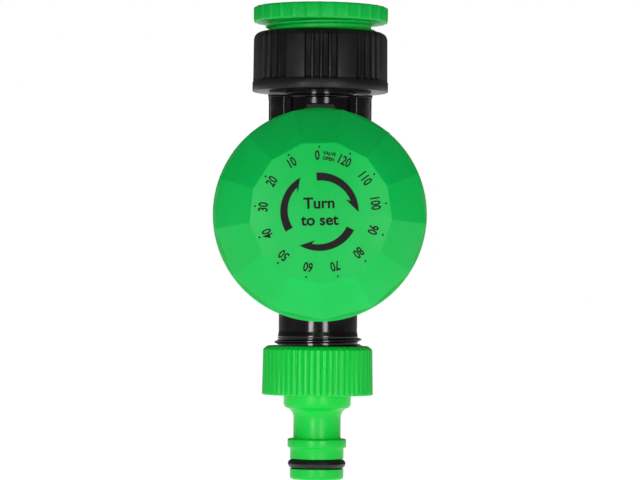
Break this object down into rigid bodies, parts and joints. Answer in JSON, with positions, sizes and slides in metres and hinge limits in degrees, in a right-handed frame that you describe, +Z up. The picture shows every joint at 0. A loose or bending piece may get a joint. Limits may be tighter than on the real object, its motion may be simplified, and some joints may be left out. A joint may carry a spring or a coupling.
{
  "type": "drip irrigation timer",
  "caption": "Mechanical hose-end water timer with a faceted clockwork dial, threaded tap adaptor, swivel nut, poppet valve body and quick-connect hose nipple.",
  "frame": {"origin": "middle of the face that seals on the tap, on the upright pipe axis", "axes": "+Z up the pipe axis towards the tap, -Y out of the dial towards the reader, +X to the reader's right"},
  "size_m": [0.0626, 0.0663, 0.1416],
  "materials": {
    "green_plastic": "satin moulded ABS",
    "deep_green_plastic": "satin moulded ABS",
    "black_plastic": "semi-gloss moulded plastic",
    "black_rubber": "matt rubber",
    "white_plastic": "moulded acetal",
    "brass": "pressed and turned",
    "steel": "turned or drawn"
  },
  "bodies": {
    "body": {"valve_body": "black_plastic", "rear_cap": "black_plastic", "rear_cap_o_ring": "black_rubber", "stem_gland": "white_plastic", "stem_o_ring": "black_rubber", "nut_seal_washer": "black_rubber", "timer_housing": "black_plastic", "movement_back_plate": "brass", "movement_front_plate": "brass", "spring_barrel": "brass", "mainspring": "steel", "valve_spring": "steel", "rear_cap_screw_1": "steel", "rear_cap_screw_2": "steel", "rear_cap_screw_3": "steel", "rear_cap_screw_4": "steel", "housing_screw_1": "steel", "housing_screw_2": "steel", "housing_screw_3": "steel", "housing_screw_4": "steel", "movement_pillar_1": "brass", "movement_pillar_2": "brass", "movement_pillar_3": "brass", "movement_screw_1": "steel", "movement_screw_2": "steel", "movement_screw_3": "steel"},
    "dial_and_arbor": {"dial": "green_plastic", "main_arbor": "steel", "valve_cam": "white_plastic", "great_wheel": "brass", "arbor_clip": "steel"},
    "second": {"second_arbor": "steel", "second_wheel": "brass"},
    "third": {"third_arbor": "steel", "third_wheel": "brass"},
    "escape": {"escape_arbor": "steel", "escape_wheel": "brass"},
    "anchor": {"anchor_arbor": "steel", "pallet_anchor": "steel"},
    "plunger": {"valve_poppet": "white_plastic", "valve_seal_disc": "black_rubber", "valve_stem": "steel"},
    "swivel_nut": {"inlet_swivel_nut": "black_plastic"},
    "filter": {"inlet_filter_washer": "black_rubber", "inlet_filter_mesh": "white_plastic"},
    "adaptor": {"inlet_adaptor": "deep_green_plastic"},
    "outlet_seal": {"outlet_washer": "black_rubber"},
    "connector": {"outlet_connector": "green_plastic", "nipple_o_ring": "black_rubber"}
  },
  "joints": [
    {"name": "dial_turn", "type": "hinge", "parent": "body", "child": "dial_and_arbor", "pos_m": [0, 0, -0.053], "axis": [0, 1, 0], "range_deg": [-13.85, 332.3], "deforming": ["mainspring"]},
    {"name": "second_wheel_turn", "type": "hinge", "parent": "body", "child": "second", "pos_m": [0, 0, -0.0386], "axis": [0, 1, 0], "range_deg": [-1670, 75]},
    {"name": "third_wheel_turn", "type": "hinge", "parent": "body", "child": "third", "pos_m": [0.00982, 0, -0.03989], "axis": [0, 1, 0], "range_deg": [-320, 7490]},
    {"name": "escape_wheel_turn", "type": "hinge", "parent": "body", "child": "escape", "pos_m": [0.01613, 0, -0.04631], "axis": [0, 1, 0], "range_deg": [-29920, 1260]},
    {"name": "anchor_swing", "type": "hinge", "parent": "body", "child": "anchor", "pos_m": [0.01751, 0, -0.05266], "axis": [0, 1, 0], "range_deg": [-6, 6]},
    {"name": "valve_lift", "type": "slide", "parent": "body", "child": "plunger", "axis": [0, 1, 0], "range_m": [0, 0.003], "stiffness_N_per_m": 400, "springref_m": -0.002, "deforming": ["valve_spring"]},
    {"name": "nut_swivel", "type": "hinge", "parent": "body", "child": "swivel_nut", "pos_m": [0, 0, -0.006], "axis": [0, 0, 1], "continuous": true},
    {"name": "adaptor_travel", "type": "slide", "parent": "swivel_nut", "child": "filter", "axis": [0, 0, 1], "range_m": [0, 0.00577]},
    {"name": "adaptor_turn", "type": "hinge", "parent": "filter", "child": "adaptor", "pos_m": [0, 0, 0], "axis": [0, 0, 1], "range_deg": [0, 900]},
    {"name": "outlet_travel", "type": "slide", "parent": "body", "child": "outlet_seal", "axis": [0, 0, -1], "range_m": [0, 0.0077]},
    {"name": "outlet_turn", "type": "hinge", "parent": "outlet_seal", "child": "connector", "pos_m": [0, 0, -0.098], "axis": [0, 0, -1], "range_deg": [0, 1530]}
  ],
  "couplings": [
    {"joint": "second_wheel_turn", "follows": "dial_turn", "ratio": -5},
    {"joint": "third_wheel_turn", "follows": "dial_turn", "ratio": 22.5},
    {"joint": "escape_wheel_turn", "follows": "dial_turn", "ratio": -90},
    {"joint": "adaptor_turn", "follows": "adaptor_travel", "rad_per_m": 2721.2},
    {"joint": "outlet_turn", "follows": "outlet_travel", "rad_per_m": 3463.7}
  ]
}
